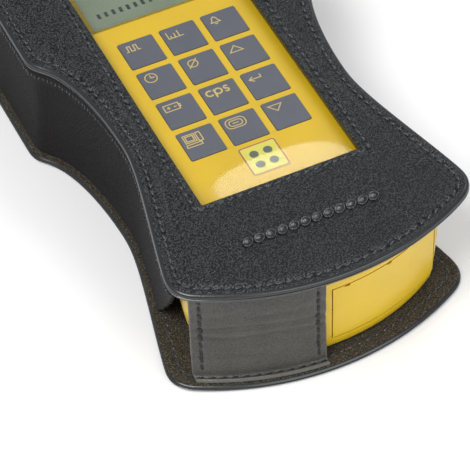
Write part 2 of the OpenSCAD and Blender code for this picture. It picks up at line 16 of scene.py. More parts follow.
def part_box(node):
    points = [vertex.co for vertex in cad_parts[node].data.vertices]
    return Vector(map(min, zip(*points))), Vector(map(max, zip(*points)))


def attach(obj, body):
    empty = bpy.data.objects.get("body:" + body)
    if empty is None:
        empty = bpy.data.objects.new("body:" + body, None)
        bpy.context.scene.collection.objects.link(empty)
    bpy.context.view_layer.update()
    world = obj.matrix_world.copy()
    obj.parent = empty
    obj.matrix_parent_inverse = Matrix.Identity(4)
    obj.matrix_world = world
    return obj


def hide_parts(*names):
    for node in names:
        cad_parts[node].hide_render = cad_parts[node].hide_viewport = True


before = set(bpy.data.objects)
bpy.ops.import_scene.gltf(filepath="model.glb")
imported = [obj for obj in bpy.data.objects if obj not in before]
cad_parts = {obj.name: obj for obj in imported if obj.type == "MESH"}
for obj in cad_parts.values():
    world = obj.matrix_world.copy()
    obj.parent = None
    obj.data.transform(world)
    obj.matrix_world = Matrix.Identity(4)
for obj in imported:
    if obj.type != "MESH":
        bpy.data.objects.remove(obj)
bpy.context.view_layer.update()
MM = 0.001
SEED = 7

# Leather case
WAIST_FROM_NEAR = 62
NEAR_RADIUS = 75
PLAN_SMOOTH = 1.5
TOP_POINTS = 1100
BOTTOM_POINTS = 700
EDGE_STITCH = 2.7
WINDOW_STITCH = 2.3
NEAR_SEAM_SHARE = 0.6
BOTTOM_STITCH = 3.4
STITCH_PITCH = 2.6
STITCH_LENGTH = 2.0
STITCH_RADIUS = 0.32
GROOVE_DEPTH = 0.36
GROOVE_WIDTH = 0.42
RIB_PITCH = 0.8
RIB_HEIGHT = 0.1
GUSSET_NEAR = 36
GUSSET_SLANT = 21
GUSSET_FAR = 162
CLOTH_THICKNESS = 0.95
BEAD_ROW = 31
BEAD_PITCH = 1.25
BEAD_TURN = 75.0

# Strap and film
STRAP_THICKNESS = 1.1
STRAP_SEAM = 2.1
STRAP_PITCH = 2.6
FILM_THICKNESS = 0.2


# ---- Plans ----

def mm_box(node):
    """Lowest and highest corner of a CAD node, in millimetres."""
    low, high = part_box(node)
    return np.array(low) / MM, np.array(high) / MM


def plan_of(node):
    """The outline of a flat CAD node, from the middle of its near edge round to the right."""
    low, high = mm_box(node)
    points = np.array([v.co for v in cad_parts[node].data.vertices]) / MM
    points = np.unique(np.round(points[points[:, 2] > high[2] - 0.01][:, :2], 3), axis=0)
    middle = (low[0] + high[0]) / 2
    from_waist = points - [middle, low[1] + WAIST_FROM_NEAR]
    turn = np.arctan2(from_waist[:, 1], from_waist[:, 0]) + math.pi / 2
    return points[np.argsort(np.mod(turn + 1e-4, 2 * math.pi))]


def resample(loop, count):
    """Points at even steps along a closed plan."""
    closed = np.vstack([loop, loop[:1]])
    along = np.concatenate([[0], np.cumsum(np.linalg.norm(np.diff(closed, axis=0), axis=1))])
    steps = np.linspace(0, along[-1], count, endpoint=False)
    return np.column_stack([np.interp(steps, along, closed[:, k]) for k in (0, 1)])


def smooth_loop(loop, count, width=PLAN_SMOOTH):
    """A closed plan with its facets smoothed over a distance of about width."""
    even = resample(loop, count)
    length = np.linalg.norm(np.diff(np.vstack([even, even[:1]]), axis=0), axis=1).sum()
    wave = 2 * math.pi * np.fft.fftfreq(count, length / count)
    soften = np.exp(-0.5 * (wave * width) ** 2)
    return np.column_stack([np.fft.ifft(np.fft.fft(even[:, k]) * soften).real for k in (0, 1)])


def rounded_loop(x0, y0, x1, y1, radius, count):
    """A rounded rectangle, from the middle of its near side round to the right."""
    corners = [(x1 - radius, y0 + radius, -90), (x1 - radius, y1 - radius, 0),
               (x0 + radius, y1 - radius, 90), (x0 + radius, y0 + radius, 180)]
    points = [((x0 + x1) / 2, y0)]
    for x, y, start in corners:
        for angle in np.radians(np.linspace(start, start + 90, 7)):
            points.append((x + radius * math.cos(angle), y + radius * math.sin(angle)))
    return resample(np.array(points), count)


def inward(loop):
    """Unit normals of a counter-clockwise closed plan that point to its inside."""
    tangent = np.roll(loop, -1, axis=0) - np.roll(loop, 1, axis=0)
    tangent /= np.linalg.norm(tangent, axis=1)[:, None]
    return np.column_stack([-tangent[:, 1], tangent[:, 0]])


def inset(loop, distance):
    return loop + distance * inward(loop)


class Path:
    """A closed plan read by distance along it, from the middle of its near edge."""

    def __init__(self, loop):
        self.points = np.vstack([loop, loop[:1]])
        self.normals = np.vstack([inward(loop), inward(loop)[:1]])
        steps = np.linalg.norm(np.diff(self.points, axis=0), axis=1)
        self.along = np.concatenate([[0], np.cumsum(steps)])
        self.length = self.along[-1]

    def at(self, s):
        """Places and inward normals at distances s."""
        s = np.mod(s, self.length)
        place = [np.interp(s, self.along, self.points[:, k]) for k in (0, 1)]
        normal = [np.interp(s, self.along, self.normals[:, k]) for k in (0, 1)]
        return np.stack(place, axis=-1), np.stack(normal, axis=-1)

    def to_y(self, y):
        """Distance along the right-hand side at which the plan reaches y."""
        half = self.along < self.length / 2
        return np.interp(y, self.points[half, 1], self.along[half])

    def to_x(self, x):
        """Distance along the near edge at which the plan reaches x, negative on the left."""
        near = self.along < self.length * 0.1
        offset = x - self.points[0, 0]
        reach = self.points[near, 0] - self.points[0, 0]
        return np.sign(offset) * np.interp(abs(offset), reach, self.along[near])


def step(x, low, high):
    """Smooth rise from 0 at low to 1 at high."""
    t = np.clip((x - low) / (high - low), 0, 1)
    return t * t * (3 - 2 * t)


def bell(x, middle, width):
    return np.exp(-0.5 * ((x - middle) / width) ** 2)


# ---- Meshes ----

def build(name, points, faces, body, material, replaces=(), sharp=40):
    """A mesh piece from points in millimetres. It rides on body and stands for CAD nodes."""
    mesh = bpy.data.meshes.new(name)
    mesh.from_pydata((np.asarray(points) * MM).tolist(), [], [list(f) for f in faces])
    repair = bmesh.new()
    repair.from_mesh(mesh)
    bmesh.ops.recalc_face_normals(repair, faces=repair.faces)
    repair.to_mesh(mesh)
    repair.free()
    mesh.shade_smooth()
    mesh.set_sharp_from_angle(angle=math.radians(sharp))
    mesh.materials.append(material)
    piece = bpy.data.objects.new(name, mesh)
    bpy.context.scene.collection.objects.link(piece)
    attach(piece, body)
    if replaces:
        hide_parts(*replaces)
    return piece


def band_faces(rings, count, wraps):
    """Quads that join each ring of count points to the next, and the last to the first."""
    i = np.arange(count)
    j = (i + 1) % count
    faces = []
    for ring in range(rings if wraps else rings - 1):
        a, b = ring * count, (ring + 1) % rings * count
        faces.append(np.column_stack([a + i, b + i, b + j, a + j]))
    return np.vstack(faces).tolist()


def cap_faces(base, count):
    """Strips across a ring, from its right-hand half to the mirrored point on its left."""
    half = count // 2
    strips = [[base, base + 1, base + count - 1]]
    for i in range(1, half - 1):
        strips.append([base + i, base + i + 1, base + count - i - 1, base + count - i])
    strips.append([base + half - 1, base + half, base + half + 1])
    return strips


def sheet(grid, thickness):
    """Points and faces of a closed sheet, half its thickness on each side of a grid."""
    down = np.gradient(grid, axis=0)
    across = np.gradient(grid, axis=1)
    normal = np.cross(across, down)
    normal /= np.linalg.norm(normal, axis=2)[:, :, None]
    rows, columns = grid.shape[:2]
    edge_in = np.ones((rows, columns, 1))
    edge_in[0], edge_in[-1] = 0.55, 0.55
    edge_in[:, 0], edge_in[:, -1] = 0.55, 0.55
    front = grid + normal * edge_in * thickness / 2
    back = grid - normal * edge_in * thickness / 2
    points = np.vstack([front.reshape(-1, 3), back.reshape(-1, 3)])
    index = np.arange(rows * columns).reshape(rows, columns)
    a, b = index[:-1, :-1].ravel(), index[:-1, 1:].ravel()
    c, d = index[1:, 1:].ravel(), index[1:, :-1].ravel()
    behind = rows * columns
    faces = np.column_stack([a, b, c, d]).tolist()
    faces += (np.column_stack([d, c, b, a]) + behind).tolist()
    rim = np.concatenate([index[0], index[1:, -1], index[-1, -2::-1], index[-2:0:-1, 0]])
    following = np.roll(rim, -1)
    faces += np.column_stack([rim, rim + behind, following + behind, following]).tolist()
    return points, faces


def capsules(places, directions, ups, length, radius, sink):
    """Points and faces of one stitch at each place: a short thread whose ends dip by sink."""
    sides = 8
    stations = [(-1, 0.05), (-0.9, 0.6), (-0.6, 0.95), (0, 1), (0.6, 0.95), (0.9, 0.6), (1, 0.05)]
    template = []
    for along, girth in stations:
        for side in range(sides):
            angle = 2 * math.pi * side / sides
            template.append((along * length / 2, radius * girth * math.cos(angle),
                             0.8 * radius * girth * math.sin(angle) - sink * abs(along) ** 3))
    template = np.array(template)
    lefts = np.cross(ups, directions)
    points = (places[:, None, :]
              + template[None, :, 0:1] * directions[:, None, :]
              + template[None, :, 1:2] * lefts[:, None, :]
              + template[None, :, 2:3] * ups[:, None, :])
    one = band_faces(len(stations), sides, False)
    one.append(list(range(sides)))
    one.append([len(template) - 1 - i for i in range(sides)])
    faces = [[v + k * len(template) for v in f] for k in range(len(places)) for f in one]
    return points.reshape(-1, 3), faces


def skewed(directions, ups, angle):
    """Directions turned about ups, so that each stitch lies a little across its row."""
    lefts = np.cross(ups, directions)
    return directions * math.cos(math.radians(angle)) + lefts * math.sin(math.radians(angle))


def spaced(start, end, pitch):
    """Middles of evenly spaced stitches between two distances along a path."""
    count = max(1, int(round((end - start) / pitch)))
    return start + (np.arange(count) + 0.5) * (end - start) / count


def flat_stitches(name, path, s, z, body, material, length=STITCH_LENGTH,
                  radius=STITCH_RADIUS, skew=15):
    """A row of stitches along a plan path, at the heights z(x, y)."""
    places, normals = path.at(s)
    heights = z(places[:, 0], places[:, 1])
    centres = np.column_stack([places, heights])
    directions = np.column_stack([normals[:, 1], -normals[:, 0], np.zeros(len(s))])
    ups = np.tile([0.0, 0.0, 1.0], (len(s), 1))
    points, faces = capsules(centres, skewed(directions, ups, skew), ups, length, radius, 0.2)
    return build(name, points, faces, body, material)


# ---- Materials ----

class Look:
    """A node material under construction, with detail placed by object coordinates."""

    def __init__(self, name):
        self.material = bpy.data.materials.new(name + "_look")
        self.material.name = name
        self.material.use_nodes = True
        self.tree = self.material.node_tree
        self.shader = self.tree.nodes["Principled BSDF"]
        self.places = self.tree.nodes.new("ShaderNodeTexCoord").outputs["Object"]
        self.height = None

    def node(self, kind, **inputs):
        made = self.tree.nodes.new(kind)
        for key, value in inputs.items():
            target = made.inputs[key.replace("_", " ")]
            if isinstance(value, bpy.types.NodeSocket):
                self.tree.links.new(value, target)
            else:
                target.default_value = value
        return made

    def noise(self, size, detail=3.0, places=None):
        """Soft noise with features about size millimetres across."""
        made = self.node("ShaderNodeTexNoise", Scale=1 / (size * MM), Detail=detail)
        self.tree.links.new(places or self.places, made.inputs["Vector"])
        return made.outputs["Fac"]

    def cells(self, size):
        """Cells about size millimetres across."""
        made = self.node("ShaderNodeTexVoronoi", Scale=1 / (size * MM))
        self.tree.links.new(self.places, made.inputs["Vector"])
        return made.outputs["Distance"]

    def stretched(self, x, y, z):
        """Object coordinates scaled along each axis."""
        made = self.node("ShaderNodeMapping", Vector=self.places)
        made.inputs["Scale"].default_value = (x, y, z)
        return made.outputs["Vector"]

    def ramp(self, value, *stops):
        """A colour or grey level read from stops of (position, colour)."""
        made = self.node("ShaderNodeValToRGB", Fac=value)
        band = made.color_ramp
        while len(band.elements) < len(stops):
            band.elements.new(0.5)
        for element, (position, colour) in zip(band.elements, stops):
            element.position = position
            level = colour if isinstance(colour, tuple) else (colour, colour, colour)
            element.color = (*level, 1)
        return made.outputs["Color"]

    def mixed(self, first, second, share, mode="MIX"):
        made = self.tree.nodes.new("ShaderNodeMix")
        made.data_type = "RGBA"
        made.blend_type = mode
        for key, value in ((0, share), (6, first), (7, second)):
            if isinstance(value, bpy.types.NodeSocket):
                self.tree.links.new(value, made.inputs[key])
            else:
                made.inputs[key].default_value = (*value, 1) if isinstance(value, tuple) else value
        return made.outputs[2]

    def bump(self, value, depth, strength=1.0):
        """Adds surface relief of depth millimetres."""
        made = self.node("ShaderNodeBump", Height=value, Distance=depth * MM, Strength=strength)
        if self.height is not None:
            self.tree.links.new(self.height, made.inputs["Normal"])
        self.height = made.outputs["Normal"]
        self.tree.links.new(self.height, self.shader.inputs["Normal"])

    def set(self, **inputs):
        for key, value in inputs.items():
            target = self.shader.inputs[key.replace("_", " ")]
            if isinstance(value, bpy.types.NodeSocket):
                self.tree.links.new(value, target)
            elif isinstance(value, tuple):
                target.default_value = (*value, 1)
            else:
                target.default_value = value
        return self

    def worn_and_highlit_edges(self, colour, lighter, share=0.6):
        """Colour that turns lighter where the surface is strongly convex: partly rubbed wear,
        partly a painted highlight along rounded edges.
        """
        pointed = self.node("ShaderNodeNewGeometry").outputs["Pointiness"]
        edge = self.ramp(pointed, (0.5, 0.0), (0.56, share))
        return self.mixed(colour, lighter, edge)


def shaded(colour, factor):
    return tuple(min(1.0, c * factor) for c in colour)


def leather(name, colour, grain, relief, roughness, shine, pore_tone):
    """Grained leather: small cells, soft blotches, and lighter edges that are partly rubbed wear
    and partly a painted highlight.
    """
    look = Look(name)
    blotch = look.noise(9, 4)
    tone = look.ramp(blotch, (0.3, shaded(colour, 0.82)), (0.7, shaded(colour, 1.2)))
    pores = look.cells(grain)
    tone = look.mixed(tone, look.ramp(pores, (0.15, 1.0), (0.7, pore_tone)), 0.7, "MULTIPLY")
    # Rounded edges are painted lighter: partly rubbed wear, partly a painted highlight where the
    # edges catch the light.
    look.set(Base_Color=look.worn_and_highlit_edges(tone, shaded(colour, 2.6)))
    look.set(Roughness=look.ramp(look.noise(1.4), (0.3, roughness - 0.07), (0.7, roughness + 0.1)))
    look.set(Specular_IOR_Level=look.ramp(pores, (0.15, shine), (0.65, shine * pore_tone * 0.5)))
    look.bump(look.ramp(pores, (0.05, 1.0), (0.75, 0.0)), relief)
    look.bump(look.noise(grain * 0.5, 3), relief * 0.35)
    look.bump(look.noise(7, 2), 0.25, 0.4)
    return look.material


def flock(name, dark, light):
    """Short velvety fibres, in two mixed browns."""
    look = Look(name)
    fibres = look.noise(0.3, 6)
    look.set(Base_Color=look.ramp(fibres, (0.42, dark), (0.52, shaded(dark, 4)), (0.63, light)))
    look.set(Roughness=0.95, Sheen_Weight=0.12, Sheen_Roughness=0.5)
    look.bump(fibres, 0.35)
    look.bump(look.noise(2.2), 0.2, 0.5)
    return look.material


def elastic(name, colour):
    """Ribbed elastic cloth: fine crossing threads over the modelled ribs."""
    look = Look(name)
    threads = look.noise(0.16, 2, look.stretched(0.6, 0.6, 2.2))
    tone = look.ramp(threads, (0.35, shaded(colour, 0.6)), (0.65, shaded(colour, 1.5)))
    look.set(Base_Color=tone, Roughness=0.85, Sheen_Weight=0.02, Specular_IOR_Level=0.3)
    look.bump(threads, 0.1)
    return look.material


def moulded(name, colour, roughness, texture=0.25, relief=0.012, shine=0.0):
    """Moulded plastic with a fine spark texture and faint flow marks."""
    look = Look(name)
    flow = look.noise(14, 2)
    tone = look.ramp(flow, (0.3, shaded(colour, 0.95)), (0.7, shaded(colour, 1.04)))
    dust = look.ramp(look.noise(0.5, 4), (0.3, 0.93), (0.6, 1.0))
    look.set(Base_Color=look.mixed(tone, dust, 0.8, "MULTIPLY"))
    look.set(Roughness=look.ramp(look.noise(1.1), (0.3, roughness - 0.05), (0.7, roughness + 0.06)))
    look.set(Coat_Weight=shine, Coat_Roughness=0.12)
    look.bump(look.noise(texture, 3), relief)
    return look.material


def metal(name, colour, roughness, along=(1, 0.08, 1)):
    """Metal with brushed lines along one axis and a little tarnish."""
    look = Look(name)
    lines = look.noise(0.2, 3, look.stretched(*along))
    tone = look.ramp(look.noise(3, 4), (0.3, shaded(colour, 0.82)), (0.7, colour))
    look.set(Base_Color=tone, Metallic=1.0)
    look.set(Roughness=look.ramp(lines, (0.3, roughness - 0.08), (0.7, roughness + 0.1)))
    look.bump(lines, 0.006)
    return look.material


def see_through(name, tint, roughness, haze):
    """Thin clear plastic: light passes straight through it and it mirrors at its surface."""
    look = Look(name)
    tree = look.tree
    gloss = look.node("ShaderNodeBsdfGlossy", Roughness=roughness)
    clear = look.node("ShaderNodeBsdfTransparent", Color=(*tint, 1))
    scuffs = look.ramp(look.noise(0.25, 4, look.stretched(1, 0.3, 1)), (0.5, 0.0), (0.8, haze))
    facing = look.node("ShaderNodeLayerWeight").outputs["Facing"]
    edge_on = look.ramp(facing, (0.0, 0.015), (0.7, 0.036), (1.0, 0.5))
    share = look.node("ShaderNodeMath", Value=scuffs)
    tree.links.new(edge_on, share.inputs[1])
    both = look.node("ShaderNodeMixShader", Fac=share.outputs[0])
    tree.links.new(clear.outputs[0], both.inputs[1])
    tree.links.new(gloss.outputs[0], both.inputs[2])
    tree.links.new(both.outputs[0], tree.nodes["Material Output"].inputs["Surface"])
    return look.material


def thread(name, colour, roughness):
    """Twisted sewing thread with a dull wax shine."""
    look = Look(name)
    twist = look.noise(0.12, 2, look.stretched(1.6, 0.7, 1))
    look.set(Base_Color=look.ramp(twist, (0.3, shaded(colour, 0.5)), (0.7, shaded(colour, 1.7))))
    look.set(Roughness=roughness)
    look.bump(twist, 0.05)
    return look.material


def laminate(name):
    """Green solder mask with faint copper tracks under it."""
    look = Look(name)
    tracks = look.node("ShaderNodeTexBrick", Scale=1 / (5 * MM), Vector=look.places)
    lines = look.ramp(tracks.outputs["Fac"], (0.4, 0.0), (0.6, 1.0))
    look.set(Base_Color=look.mixed((0.01, 0.09, 0.035), (0.05, 0.22, 0.08), lines))
    look.set(Roughness=0.35)
    look.bump(lines, 0.03)
    return look.material


def wound(name, colour):
    """Enamelled wire wound round a vertical former, with painted shade between the turns."""
    look = Look(name)
    rows = look.node("ShaderNodeTexWave", Scale=1 / (2 * MM), Vector=look.places)
    rows.bands_direction = "Z"
    turns = rows.outputs["Fac"]
    # The colour darkens between the turns: painted shade in the grooves between the wires.
    look.set(Base_Color=look.ramp(turns, (0.2, shaded(colour, 0.4)), (0.8, colour)))
    look.set(Roughness=0.35, Metallic=0.6)
    look.bump(turns, 0.15)
    return look.material


def display(name):
    """Reflective liquid crystal glass, grey-green with a fine segment grid."""
    look = Look(name)
    grid = look.cells(0.6)
    tone = look.ramp(look.noise(20, 1), (0.3, (0.25, 0.29, 0.23)), (0.7, (0.31, 0.35, 0.28)))
    look.set(Base_Color=look.mixed(tone, look.ramp(grid, (0, 0.9), (1, 1.0)), 0.5, "MULTIPLY"))
    look.set(Roughness=0.25, Coat_Weight=0.6, Coat_Roughness=0.05)
    look.bump(look.noise(6), 0.01)
    return look.material


LOOKS = {
    "case_leather": lambda n: leather(n, (0.0155, 0.0182, 0.0196), 0.46, 0.12, 0.31, 1.0, 0.25),
    "flock_lining": lambda n: flock(n, (0.005, 0.0038, 0.0022), (0.13, 0.098, 0.05)),
    "elastic_fabric": lambda n: elastic(n, (0.0058, 0.0045, 0.0052)),
    "pressed_leather": lambda n: leather(n, (0.009, 0.011, 0.012), 0.33, 0.02, 0.2, 1.0, 0.9),
    "strap_leather": lambda n: leather(n, (0.05, 0.048, 0.043), 0.4, 0.03, 0.36, 0.6, 0.85),
    "clear_film": lambda n: see_through(n, (0.985, 0.985, 0.98), 0.04, 0.03),
    "shell_plastic": lambda n: moulded(n, (0.66, 0.44, 0.012), 0.36, shine=0.15),
    "overlay_film": lambda n: moulded(n, (0.68, 0.445, 0.004), 0.5, 0.18, 0.02),
    "sign_print": lambda n: moulded(n, (0.66, 0.62, 0.09), 0.4, 0.18, 0.01),
    "key_plastic": lambda n: moulded(n, (0.085, 0.094, 0.125), 0.42, 0.2, 0.03),
    "lcd_lens": lambda n: see_through(n, (0.93, 0.95, 0.93), 0.03, 0.02),
    "lcd_glass": display,
    "white_plastic": lambda n: moulded(n, (0.72, 0.72, 0.68), 0.45),
    "pink_rubber": lambda n: moulded(n, (0.56, 0.14, 0.25), 0.6),
    "board_laminate": laminate,
    "black_plastic": lambda n: moulded(n, (0.022, 0.023, 0.025), 0.45, 0.3, 0.03),
    "crystal_can": lambda n: metal(n, (0.62, 0.63, 0.64), 0.25),
    "ceramic_parts": lambda n: moulded(n, (0.46, 0.36, 0.25), 0.4, 0.1),
    "winding": lambda n: wound(n, (0.55, 0.2, 0.06)),
    "capacitor_coat": lambda n: moulded(n, (0.48, 0.16, 0.03), 0.3, 0.8, 0.04),
    "socket_steel": lambda n: metal(n, (0.66, 0.67, 0.68), 0.3),
    "cell_sleeve": lambda n: moulded(n, (0.05, 0.16, 0.26), 0.25, 0.4, 0.01, 0.5),
    "nickel_strip": lambda n: metal(n, (0.7, 0.69, 0.65), 0.25),
    "tube_steel": lambda n: metal(n, (0.45, 0.46, 0.47), 0.35, (1, 0.05, 1)),
    "mica": lambda n: moulded(n, (0.5, 0.38, 0.2), 0.15, 1.2, 0.01, 0.8),
    "spring_bronze": lambda n: metal(n, (0.62, 0.47, 0.26), 0.3),
    "wire_sleeve": lambda n: moulded(n, (0.42, 0.04, 0.03), 0.4),
    "foil": lambda n: metal(n, (0.8, 0.81, 0.82), 0.2),
    "shield_aluminium": lambda n: metal(n, (0.6, 0.61, 0.62), 0.4, (1, 1, 0.1)),
    "screw_steel": lambda n: metal(n, (0.5, 0.5, 0.5), 0.35),
    "grille_steel": lambda n: metal(n, (0.4, 0.41, 0.42), 0.4, (1, 1, 1)),
    "black_thread": lambda n: thread(n, (0.004, 0.004, 0.004), 0.5),
    "waxed_thread": lambda n: thread(n, (0.036, 0.04, 0.044), 0.25),
    "edge_paint": lambda n: moulded(n, (0.014, 0.016, 0.018), 0.3, 0.5, 0.02, 0.3),
    "sign_ink": lambda n: moulded(n, (0.10, 0.12, 0.10), 0.5, 0.2),
    "sign_border": lambda n: moulded(n, (0.42, 0.09, 0.05), 0.5, 0.2),
    "icon_ink": lambda n: moulded(n, (0.6, 0.46, 0.16), 0.5, 0.2),
    "segment_ink": lambda n: moulded(n, (0.03, 0.035, 0.04), 0.4, 0.2),
}
PAINT = {}


def paint(name):
    """The material of a slot, made the first time it is asked for."""
    if name not in PAINT:
        PAINT[name] = LOOKS[name](name)
    return PAINT[name]


def finish_cad_nodes():
    """Gives each carried-over CAD node its material, soft edges and smooth shading."""
    fine = {"microcontroller", "surface_mount_parts", "board_screws", "usb_socket",
            "window_grille", "battery_tabs", "alpha_foil", "mica_window", "radiation_sign"}
    slots = {name: piece.data.materials[0].name for name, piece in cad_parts.items()}
    for slot in sorted(set(slots.values())):
        bpy.data.materials[slot].name = slot + "_imported"
    for name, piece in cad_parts.items():
        slot = slots[name]
        piece.data.materials[0] = paint(slot)
        if "custom_normal" in piece.data.attributes:
            piece.data.attributes.remove(piece.data.attributes["custom_normal"])
        for corner_kind in ("sharp_edge", "sharp_face"):
            if corner_kind in piece.data.attributes:
                piece.data.attributes.remove(piece.data.attributes[corner_kind])
        piece.data.polygons.foreach_set("use_smooth", [True] * len(piece.data.polygons))
        weld = piece.modifiers.new("weld", "WELD")
        weld.merge_threshold = 0.002 * MM
        soften = piece.modifiers.new("soften", "BEVEL")
        soften.limit_method = "ANGLE"
        soften.angle_limit = math.radians(40)
        soften.segments = 2
        soften.width = (0.04 if name in fine else 0.15) * MM
        creases = piece.modifiers.new("creases", "EDGE_SPLIT")
        creases.split_angle = math.radians(48)
        weighted = piece.modifiers.new("weighted", "WEIGHTED_NORMAL")
        weighted.keep_sharp = True


# ---- Leather case ----

def droop(x, y):
    """How far the top panel hangs down where nothing holds it up."""
    low, high = mm_box("case_top_panel")
    waist = low[1] + WAIST_FROM_NEAR
    right = 1.3 * step(x, 23, 32) * bell(y, waist + 4, 30)
    near = 0.35 * step(low[1] + 14 - y, 0, 14)
    ripple = 0.12 * np.sin(x * 0.11 + 1) * np.sin(y * 0.07)
    return right + near + ripple


def edge_profile(thickness):
    """Inset and drop of a painted leather edge, from the top face round to the bottom face."""
    half = thickness / 2
    return [(1.0, 0.0), (0.62, 0.06), (0.32, 0.22), (0.12, 0.5), (0.02, half - 0.3),
            (0.0, half - 0.2), (0.32, half), (0.0, half + 0.2), (0.03, half + 0.35),
            (0.14, thickness - 0.45), (0.36, thickness - 0.18), (0.7, thickness - 0.05),
            (1.1, thickness)]


def sewn_relief(distance, row, s, pitch):
    """Groove along a seam, with a deeper pucker at each needle hole and a soft welt beside it."""
    pucker = 0.6 + 0.4 * np.cos(2 * math.pi * s / pitch)
    groove = -GROOVE_DEPTH * bell(distance, row, GROOVE_WIDTH) * pucker
    welt = 0.12 * bell(distance, row - 1.25, 0.5) + 0.07 * bell(distance, row + 1.2, 0.6)
    return groove + welt


def plan_over(node, count):
    """The bottom panel's smoothed outline, moved sideways over the middle of a node."""
    low, high = mm_box(node)
    outline = smooth_loop(plan_of("case_bottom_panel"), count)
    outline[:, 0] -= (outline[:, 0].max() + outline[:, 0].min() - low[0] - high[0]) / 2
    return outline


def paint_rim(panel, first_face, end_face):
    """Edge paint on the faces of a leather panel's rim."""
    panel.data.materials.append(paint("edge_paint"))
    for face in panel.data.polygons[first_face:end_face]:
        face.material_index = 1


def top_panel():
    """The top leather: a rounded sheet round the window, sewn along both of its edges."""
    low, high = mm_box("case_top_panel")
    thickness = high[2] - low[2]
    outline = plan_over("case_top_panel", TOP_POINTS)
    film_low, film_high = mm_box("window_film")
    rim = [film_low[0] + 2, film_low[1] + 2, film_high[0] - 2, film_high[1] - 2]

    def window(distance):
        return rounded_loop(rim[0] - distance, rim[1] - distance * NEAR_SEAM_SHARE,
                            rim[2] + distance, rim[3] + distance, 0.3 + 0.4 * distance,
                            TOP_POINTS)

    outer_path = Path(outline)
    window_path = Path(window(WINDOW_STITCH))
    outer_s = outer_path.along[:-1]
    window_s = window_path.along[:-1]
    outer_pitch = outer_path.length / round(outer_path.length / STITCH_PITCH)
    window_pitch = window_path.length / round(window_path.length / STITCH_PITCH)
    rings = []

    def ring(loop, drop, relief=0.0):
        z = high[2] - drop + relief - droop(loop[:, 0], loop[:, 1])
        rings.append(np.column_stack([loop, z]))

    for distance, drop in ((0, 0.7), (0.06, 0.35), (0.2, 0.12), (0.5, 0.02)):
        ring(window(distance), drop)
    for distance in (0.9, 1.3, 1.6, 1.9, 2.15, 2.3, 2.45, 2.7, 3.0, 3.4, 3.9, 4.6):
        ring(window(distance), 0,
             sewn_relief(distance, WINDOW_STITCH, window_s, window_pitch))
    inner, outer = window(4.6), inset(outline, 5.6)
    for share in np.linspace(0, 1, 16)[1:]:
        ring(inner * (1 - share) + outer * share, 0)
    for distance in (4.8, 4.2, 3.7, 3.3, 3.05, 2.85, 2.7, 2.55, 2.35, 2.1, 1.8, 1.4):
        ring(inset(outline, distance), 0,
             sewn_relief(distance, EDGE_STITCH, outer_s, outer_pitch))
    rim_start = len(rings)
    for distance, drop in edge_profile(thickness):
        ring(inset(outline, distance), drop)
    rim_end = len(rings)
    for share in np.linspace(1, 0, 9):
        ring(inner * (1 - share) + outer * share, thickness)
    ring(window(0.4), thickness)
    ring(window(0.05), thickness - 0.3)

    panel = build("top_leather", np.vstack(rings), band_faces(len(rings), TOP_POINTS, True),
                  "case", paint("case_leather"), ["case_top_panel"])
    paint_rim(panel, rim_start * TOP_POINTS, rim_end * TOP_POINTS)

    def on_top(x, y):
        return high[2] - GROOVE_DEPTH * 0.15 - droop(x, y)

    edge_row = Path(inset(outline, EDGE_STITCH))
    count = round(outer_path.length / outer_pitch)
    s = (np.arange(count) + 0.5) * outer_pitch
    flat_stitches("edge_stitches", edge_row, s * edge_row.length / outer_path.length, on_top,
                  "case", paint("waxed_thread"))
    count = round(window_path.length / window_pitch)
    flat_stitches("window_stitches", window_path, (np.arange(count) + 0.5) * window_pitch,
                  on_top, "case", paint("waxed_thread"))
    return outline


def slab(name, node, outline, grooves, material, fuzz=0.0, edge=None):
    """A whole sheet with a rounded edge, closed across its middle by strips."""
    low, high = mm_box(node)
    thickness = high[2] - low[2]
    count = len(outline)
    middle = (outline.max(axis=0) + outline.min(axis=0)) / 2
    spine = middle + (inset(outline, 8) - middle) * [0.1, 0.86]
    deep = inset(outline, 6.5)
    s = Path(outline).along[:-1]
    rings = []

    def ring(loop, z):
        rings.append(np.column_stack([loop, np.full(count, z) if np.isscalar(z) else z]))

    for share in np.linspace(0, 1, 60 if fuzz else 14):
        ring(spine * (1 - share) + deep * share, high[2])
    for distance in (5.6, 4.9, 4.3, 3.9, 3.6, 3.4, 3.2, 2.9, 2.5, 2.0, 1.5):
        relief = sum(sewn_relief(distance, row, s, STITCH_PITCH) for row in grooves) * 0.8
        ring(inset(outline, distance), high[2] + relief)
    rim_start = len(rings)
    for distance, drop in edge or edge_profile(thickness):
        ring(inset(outline, distance), high[2] - drop)
    rim_end = len(rings)
    ring(deep, low[2])
    ring(spine, low[2])
    points = np.vstack(rings)
    if fuzz:
        jitter = np.random.RandomState(SEED).uniform(-fuzz, fuzz, len(points))
        points[:, 2] += np.where(points[:, 2] > high[2] - 0.25, jitter, 0)
    faces = band_faces(len(rings), count, False)
    faces += cap_faces(0, count) + cap_faces((len(rings) - 1) * count, count)
    panel = build(name, points, faces, "case", material, [node])
    if edge is None:
        paint_rim(panel, rim_start * count, rim_end * count)


def bottom_panels():
    """Bottom leather with the flock glued on it, and the row of stitches through both."""
    outline = smooth_loop(plan_of("case_bottom_panel"), BOTTOM_POINTS)
    slab("bottom_leather", "case_bottom_panel", outline, [], paint("case_leather"))
    lining = inset(outline, 0.45)
    thin_edge = [(0.5, 0.02), (0.2, 0.1), (0.03, 0.28), (0.1, 0.48)]
    slab("bottom_flock", "case_bottom_lining", lining, [BOTTOM_STITCH - 1],
         paint("flock_lining"), 0.07, thin_edge)
    top = mm_box("case_bottom_lining")[1][2]
    row = Path(inset(outline, BOTTOM_STITCH))
    flat_stitches("bottom_stitches", row, spaced(0, row.length, STITCH_PITCH),
                  lambda x, y: np.full(len(x), top + 0.05), "case", paint("waxed_thread"))
    return outline


